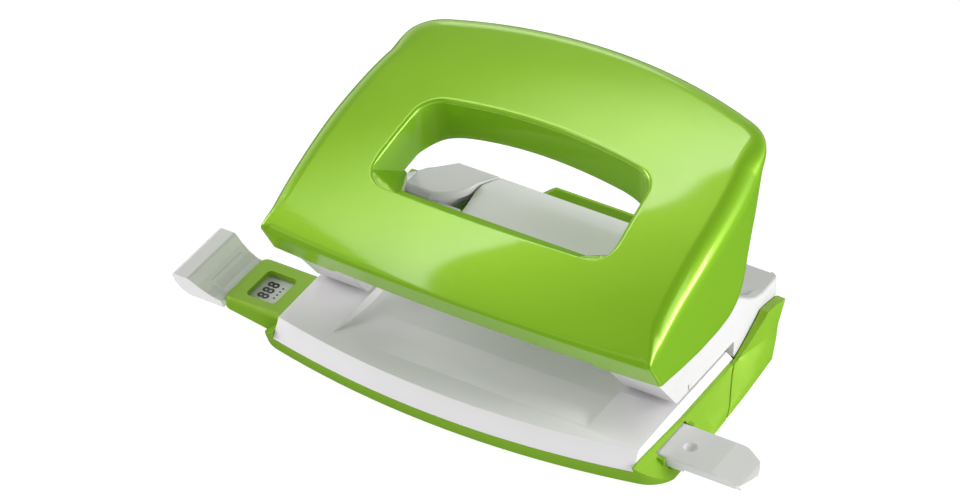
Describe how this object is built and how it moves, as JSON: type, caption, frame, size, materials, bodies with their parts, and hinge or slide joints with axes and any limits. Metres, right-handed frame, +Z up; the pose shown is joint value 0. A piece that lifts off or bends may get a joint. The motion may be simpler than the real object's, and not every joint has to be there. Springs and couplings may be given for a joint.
{
  "type": "two-hole desk punch",
  "caption": "Small desk punch for loose sheets: a sprung press handle with a finger opening, round punches, a sliding paper guide and a hinged chip tray.",
  "frame": {"origin": "on the desk plane, midway between the axes of the two punches", "axes": "+Z up, +X to the right along the row of holes, +Y from the paper side to the rear"},
  "size_m": [0.1544, 0.0821, 0.0621],
  "materials": {
    "handle_green": "high-gloss pearlescent green moulding",
    "base_green": "semi-gloss green moulding",
    "body_white": "satin white moulding",
    "guide_white": "satin light grey-white moulding",
    "label_white": "printed strip, white with dark digits",
    "steel_plate": "zinc-plated sheet",
    "hard_steel": "ground hardened steel",
    "spring_steel": "drawn spring wire and strip",
    "screw_steel": "zinc-plated screws",
    "brass_bush": "turned brass"
  },
  "bodies": {
    "base": {"base_shell": "base_green", "table_plate": "body_white", "side_frame_left": "body_white", "side_frame_right": "body_white", "rear_ramp": "body_white", "die_plate": "steel_plate", "die_bush_left": "hard_steel", "die_bush_right": "hard_steel", "guide_bush_left": "brass_bush", "guide_bush_right": "brass_bush", "handle_axle": "hard_steel", "axle_clips": "spring_steel", "frame_screws": "screw_steel", "bar_spring": "spring_steel", "spring_left": "spring_steel", "spring_right": "spring_steel"},
    "handle": {"handle_shell": "handle_green", "press_bracket_left": "steel_plate", "press_bracket_right": "steel_plate", "bracket_screws": "screw_steel"},
    "punch_left": {"punch_left": "hard_steel", "punch_clip_left": "spring_steel"},
    "punch_right": {"punch_right": "hard_steel", "punch_clip_right": "spring_steel"},
    "guide": {"guide_bar": "guide_white", "paper_stop": "guide_white", "format_strip": "label_white"},
    "chip_tray": {"chip_tray": "base_green"}
  },
  "joints": [
    {"name": "handle_press", "type": "hinge", "parent": "base", "child": "handle", "pos_m": [0, -0.02, 0.029], "axis": [-1, 0, 0], "range_deg": [0, 16.6], "stiffness_Nm_per_rad": 0.8, "springref_deg": -8.59},
    {"name": "punch_left_stroke", "type": "slide", "parent": "base", "child": "punch_left", "axis": [0, 0, -1], "range_m": [0, 0.0061], "deforming": ["spring_left"]},
    {"name": "punch_right_stroke", "type": "slide", "parent": "base", "child": "punch_right", "axis": [0, 0, -1], "range_m": [0, 0.0061], "deforming": ["spring_right"]},
    {"name": "guide_slide", "type": "slide", "parent": "base", "child": "guide", "axis": [-1, 0, 0], "range_m": [0, 0.08]},
    {"name": "tray_hinge", "type": "hinge", "parent": "base", "child": "chip_tray", "pos_m": [0, -0.0095, 0.0023], "axis": [-1, 0, 0], "range_deg": [0, 60]}
  ],
  "couplings": [
    {"joint": "punch_left_stroke", "follows": "handle_press", "m_per_rad": 0.0206},
    {"joint": "punch_right_stroke", "follows": "handle_press", "m_per_rad": 0.0206}
  ]
}
